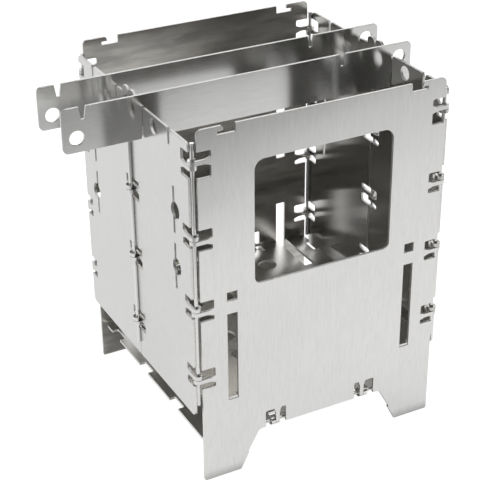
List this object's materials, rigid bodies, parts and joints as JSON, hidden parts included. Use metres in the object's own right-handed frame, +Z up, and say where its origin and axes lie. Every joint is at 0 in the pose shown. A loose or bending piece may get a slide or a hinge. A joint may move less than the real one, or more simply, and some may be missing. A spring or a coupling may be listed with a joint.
{
  "type": "twig stove",
  "caption": "Folding wood-burning camp stove of hinged stainless sheet, a box on four feet with a feed window, fire grate, base plate and two lift-out trivet strips.",
  "frame": {"origin": "on the ground, at the middle of the bounding box's bottom; the box of the stove lies 17 mm further to +X because the trivets stand out further on the left", "axes": "+X to the right along the front panel, +Y from the front panel to the rear panel, +Z up"},
  "size_m": [0.2144, 0.15, 0.215],
  "materials": {
    "panel": "brushed stainless sheet, grain upright",
    "plate": "brushed stainless sheet, grain front to back",
    "trivet": "brushed stainless sheet, grain lengthwise",
    "hinge_rod": "drawn stainless wire, bright"
  },
  "bodies": {
    "front_panel": {"front_panel": "panel", "rod_front_left": "hinge_rod", "rod_front_right": "hinge_rod", "base_rod": "hinge_rod"},
    "left_front_wall": {"left_front_wall": "panel", "rod_mid_left": "hinge_rod"},
    "left_rear_wall": {"left_rear_wall": "panel"},
    "rear_panel": {"rear_panel": "panel", "rod_rear_left": "hinge_rod", "rod_rear_right": "hinge_rod", "grate_rod": "hinge_rod"},
    "right_front_wall": {"right_front_wall": "panel", "rod_mid_right": "hinge_rod"},
    "right_rear_wall": {"right_rear_wall": "panel"},
    "base_plate": {"base_plate": "plate"},
    "fire_grate": {"fire_grate": "plate"},
    "front_trivet": {"front_trivet": "trivet"},
    "rear_trivet": {"rear_trivet": "trivet"}
  },
  "joints": [
    {"name": "left_front_fold", "type": "hinge", "parent": "front_panel", "child": "left_front_wall", "pos_m": [-0.0593, -0.07235, 0.127], "axis": [0, 0, -1], "range_deg": [0, 0.3]},
    {"name": "left_middle_fold", "type": "hinge", "parent": "left_front_wall", "child": "left_rear_wall", "pos_m": [-0.0631, 0, 0.127], "axis": [0, 0, -1], "range_deg": [-0.6, 0]},
    {"name": "left_rear_fold", "type": "hinge", "parent": "left_rear_wall", "child": "rear_panel", "pos_m": [-0.0593, 0.07235, 0.127], "axis": [0, 0, -1], "range_deg": [0, 0.3]},
    {"name": "right_front_fold", "type": "hinge", "parent": "front_panel", "child": "right_front_wall", "pos_m": [0.0933, -0.07235, 0.127], "axis": [0, 0, 1], "range_deg": [0, 0.3]},
    {"name": "right_middle_fold", "type": "hinge", "parent": "right_front_wall", "child": "right_rear_wall", "pos_m": [0.0971, 0, 0.127], "axis": [0, 0, 1], "range_deg": [-0.6, 0]},
    {"name": "base_plate_swing", "type": "hinge", "parent": "front_panel", "child": "base_plate", "pos_m": [0.017, -0.07235, 0.0254], "axis": [1, 0, 0], "range_deg": [0, 10]},
    {"name": "fire_grate_swing", "type": "hinge", "parent": "rear_panel", "child": "fire_grate", "pos_m": [0.017, 0.07235, 0.05265], "axis": [-1, 0, 0], "range_deg": [0, 90]},
    {"name": "front_trivet_lift", "type": "slide", "parent": "front_panel", "child": "front_trivet", "axis": [0, 0, 1], "range_m": [0, 0.03]},
    {"name": "rear_trivet_lift", "type": "slide", "parent": "front_panel", "child": "rear_trivet", "axis": [0, 0, 1], "range_m": [0, 0.03]}
  ],
  "couplings": [
    {"joint": "left_middle_fold", "follows": "left_front_fold", "ratio": -2},
    {"joint": "left_rear_fold", "follows": "left_front_fold", "ratio": 1},
    {"joint": "right_front_fold", "follows": "left_front_fold", "ratio": 1},
    {"joint": "right_middle_fold", "follows": "left_front_fold", "ratio": -2}
  ]
}
